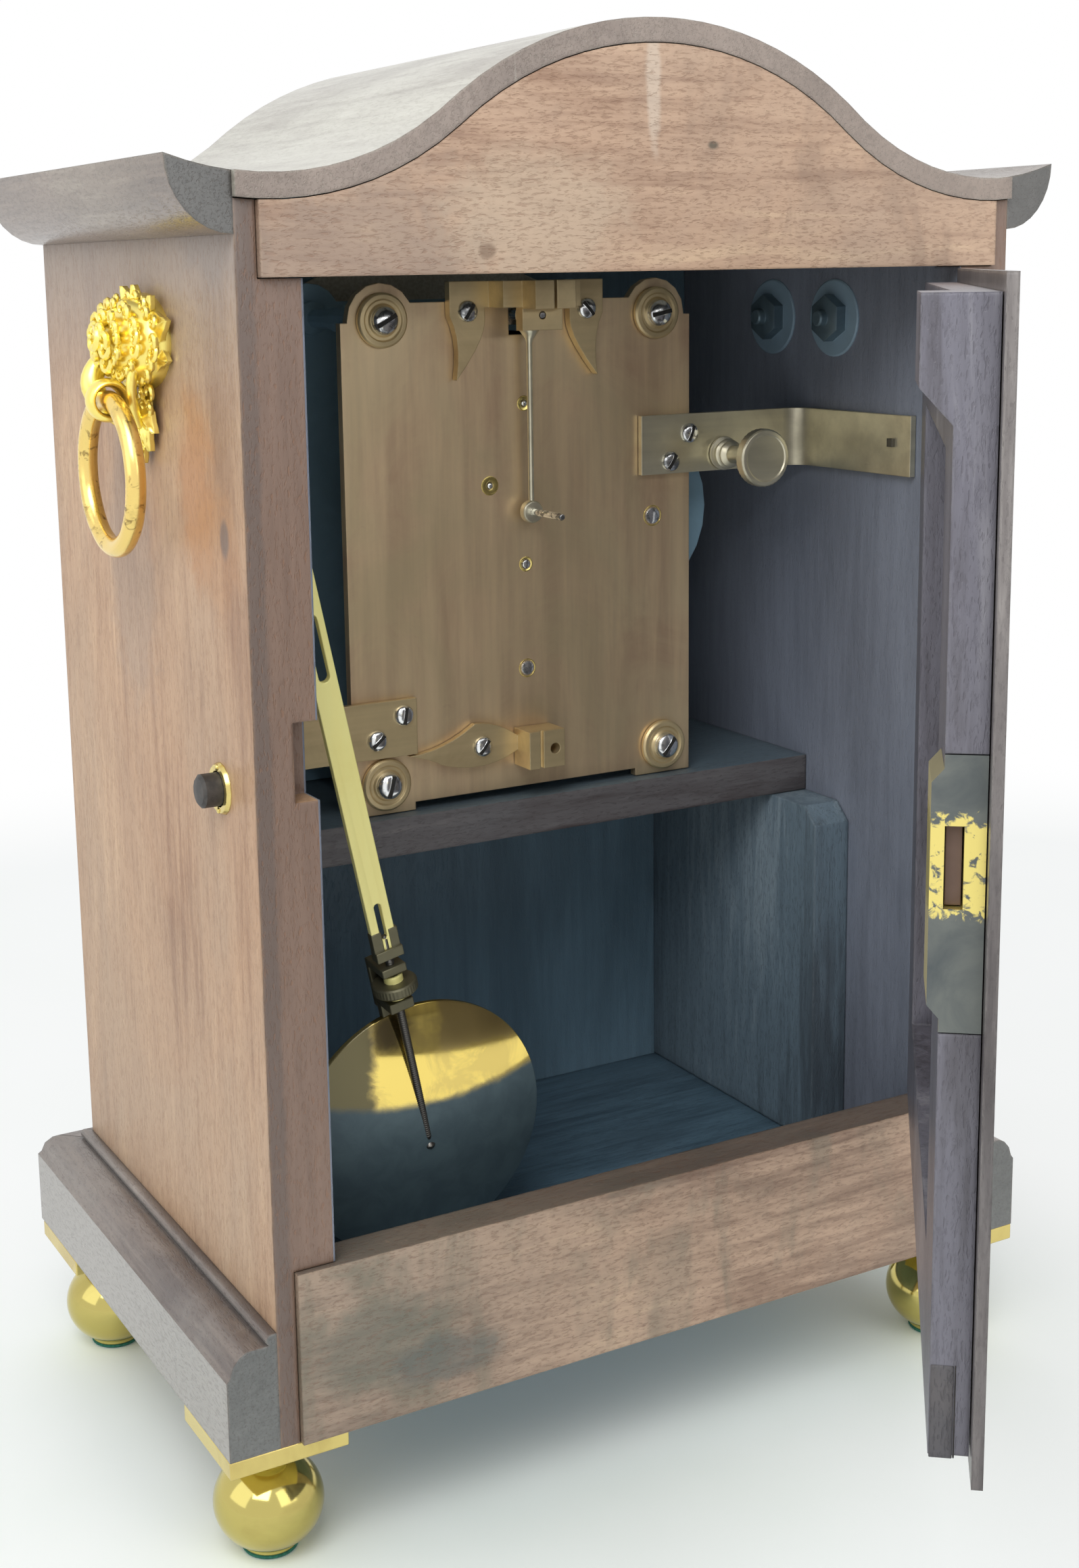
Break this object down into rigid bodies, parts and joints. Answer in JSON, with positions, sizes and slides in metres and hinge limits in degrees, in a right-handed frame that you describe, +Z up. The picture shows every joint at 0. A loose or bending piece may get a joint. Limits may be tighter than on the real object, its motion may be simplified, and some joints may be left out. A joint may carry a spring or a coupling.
{
  "type": "bracket clock",
  "caption": "Bell-arch mahogany table clock on brass ball feet, with a hinged back door open on its fusee movement and ring mounts on its sides.",
  "frame": {"origin": "on the surface that the clock stands on, under the middle of its box with the back door open", "axes": "+Z up, +Y out of the back of the clock, where the door is; -Y is the dial side; +X is the left side as seen from behind"},
  "size_m": [0.2864, 0.3462, 0.4231],
  "materials": {
    "mahogany": "worn french polish over mahogany, faded where the light reaches it",
    "pale_mahogany": "faded mahogany with a dry open grain",
    "dark_mahogany": "dark stained wood, dull",
    "brass": "straight-grained lacquered clock brass",
    "bright_brass": "polished brass",
    "gilt": "worn gilding on cast brass",
    "steel": "polished steel",
    "blued_steel": "heat-blued steel",
    "ebony": "turned ebony",
    "silvering": "matt silvering",
    "glass": "clear flat glass"
  },
  "bodies": {
    "case": {"side_wall_left": "mahogany", "side_wall_right": "mahogany", "front_board": "mahogany", "roof_board": "dark_mahogany", "back_header": "pale_mahogany", "back_rail": "pale_mahogany", "base_board": "dark_mahogany", "cornice_left": "mahogany", "cornice_right": "mahogany", "plinth_left": "mahogany", "plinth_right": "mahogany", "plinth_front": "mahogany", "seat_board": "dark_mahogany", "seat_cheek_left": "dark_mahogany", "seat_cheek_right": "dark_mahogany", "foot_back_left": "bright_brass", "foot_back_right": "bright_brass", "foot_front_left": "bright_brass", "foot_front_right": "bright_brass", "mount_left": "gilt", "mount_right": "gilt", "button_collar": "bright_brass", "lower_hinge_jamb_leaf": "brass", "upper_hinge_jamb_leaf": "brass", "dial": "silvering", "bezel_hinge": "brass", "back_plate": "brass", "front_plate": "brass", "pillar_screw_upper_left": "steel", "pillar_screw_upper_right": "steel", "pillar_screw_lower_left": "steel", "pillar_screw_lower_right": "steel", "suspension_cock": "brass", "pendulum_holdfast": "brass", "movement_strap_left": "brass", "movement_strap_right": "brass", "pendulum_rod": "bright_brass"},
    "door": {"door_panel": "pale_mahogany", "door_frame": "dark_mahogany", "lock_case": "brass", "lower_hinge_door_leaf": "brass", "upper_hinge_door_leaf": "brass"},
    "lock_bolt": {"lock_bolt": "bright_brass"},
    "ring_left": {"ring_left": "gilt"},
    "ring_right": {"ring_right": "gilt"},
    "side_button": {"side_button": "ebony"},
    "bezel": {"bezel": "bright_brass", "bezel_glass": "glass"},
    "minute_hand": {"minute_hand": "blued_steel"},
    "hour_hand": {"hour_hand": "blued_steel"},
    "minute_wheel": {"minute_wheel": "brass"},
    "centre_wheel": {"centre_wheel": "brass"},
    "third_wheel": {"third_wheel": "brass"},
    "escape_wheel": {"escape_wheel": "brass"},
    "fusee": {"fusee": "brass"},
    "barrel": {"barrel": "brass"},
    "crutch": {"crutch_and_pallets": "steel"},
    "thumb_screw": {"thumb_screw": "bright_brass"},
    "pendulum_bob": {"pendulum_bob": "bright_brass"},
    "rating_nut": {"rating_nut": "brass"}
  },
  "joints": [
    {"name": "door_hinge", "type": "hinge", "parent": "case", "child": "door", "pos_m": [-0.107, 0.00305, 0.22375], "axis": [0, 0, 1], "range_deg": [-51.2, 58.8]},
    {"name": "lock_bolt_slide", "type": "slide", "parent": "door", "child": "lock_bolt", "axis": [0.6266, 0.7793, 0], "range_m": [0, 0.005]},
    {"name": "ring_left_swing", "type": "hinge", "parent": "case", "child": "ring_left", "pos_m": [0.137, -0.06715, 0.3238], "axis": [0, -1, 0], "range_deg": [0, 95]},
    {"name": "ring_right_swing", "type": "hinge", "parent": "case", "child": "ring_right", "pos_m": [-0.137, -0.06715, 0.3238], "axis": [0, 1, 0], "range_deg": [0, 95]},
    {"name": "side_button_slide", "type": "slide", "parent": "case", "child": "side_button", "axis": [1, 0, 0], "range_m": [0, 0.01]},
    {"name": "bezel_hinge", "type": "hinge", "parent": "case", "child": "bezel", "pos_m": [0.1035, -0.16265, 0.266], "axis": [0, 0, 1], "range_deg": [0, 100]},
    {"name": "third_wheel_turn", "type": "hinge", "parent": "case", "child": "third_wheel", "pos_m": [0.0125, -0.09815, 0.2915], "axis": [0, 1, 0], "continuous": true},
    {"name": "centre_wheel_turn", "type": "hinge", "parent": "case", "child": "centre_wheel", "pos_m": [0, -0.09815, 0.266], "axis": [0, 1, 0], "continuous": true},
    {"name": "minute_hand_turn", "type": "hinge", "parent": "case", "child": "minute_hand", "pos_m": [0, -0.09815, 0.266], "axis": [0, 1, 0], "continuous": true},
    {"name": "hour_hand_turn", "type": "hinge", "parent": "case", "child": "hour_hand", "pos_m": [0, -0.09815, 0.266], "axis": [0, 1, 0], "continuous": true},
    {"name": "minute_wheel_turn", "type": "hinge", "parent": "case", "child": "minute_wheel", "pos_m": [0.02, -0.09815, 0.266], "axis": [0, 1, 0], "continuous": true},
    {"name": "escape_wheel_turn", "type": "hinge", "parent": "case", "child": "escape_wheel", "pos_m": [0, -0.09815, 0.3164], "axis": [0, 1, 0], "continuous": true},
    {"name": "fusee_turn", "type": "hinge", "parent": "case", "child": "fusee", "pos_m": [0, -0.09815, 0.2327], "axis": [0, 1, 0], "continuous": true},
    {"name": "barrel_turn", "type": "hinge", "parent": "case", "child": "barrel", "pos_m": [-0.0475, -0.09815, 0.278], "axis": [0, 1, 0], "continuous": true},
    {"name": "crutch_swing", "type": "hinge", "parent": "case", "child": "crutch", "pos_m": [0, -0.07915, 0.3435], "axis": [0, 1, 0], "range_deg": [-2.5, 2.5]},
    {"name": "thumb_screw_turn", "type": "hinge", "parent": "case", "child": "thumb_screw", "pos_m": [-0.0735, -0.06915, 0.297], "axis": [0, 1, 0], "continuous": true},
    {"name": "bob_slide", "type": "slide", "parent": "case", "child": "pendulum_bob", "axis": [0.2215, 0.0782, 0.972], "range_m": [0, 0.002]},
    {"name": "rating_nut_turn", "type": "hinge", "parent": "pendulum_bob", "child": "rating_nut", "pos_m": [0.07, -0.03485, 0.1528], "axis": [0.2215, 0.0782, 0.972], "range_deg": [0, 1030]}
  ],
  "couplings": [
    {"joint": "centre_wheel_turn", "follows": "third_wheel_turn", "ratio": -0.083333},
    {"joint": "minute_hand_turn", "follows": "third_wheel_turn", "ratio": -0.083333},
    {"joint": "minute_wheel_turn", "follows": "third_wheel_turn", "ratio": 0.083333},
    {"joint": "hour_hand_turn", "follows": "third_wheel_turn", "ratio": -0.0069444},
    {"joint": "fusee_turn", "follows": "third_wheel_turn", "ratio": 0.0069444},
    {"joint": "barrel_turn", "follows": "third_wheel_turn", "ratio": 0.004189},
    {"joint": "escape_wheel_turn", "follows": "third_wheel_turn", "ratio": -11.143},
    {"joint": "rating_nut_turn", "follows": "bob_slide", "rad_per_m": 8976}
  ]
}
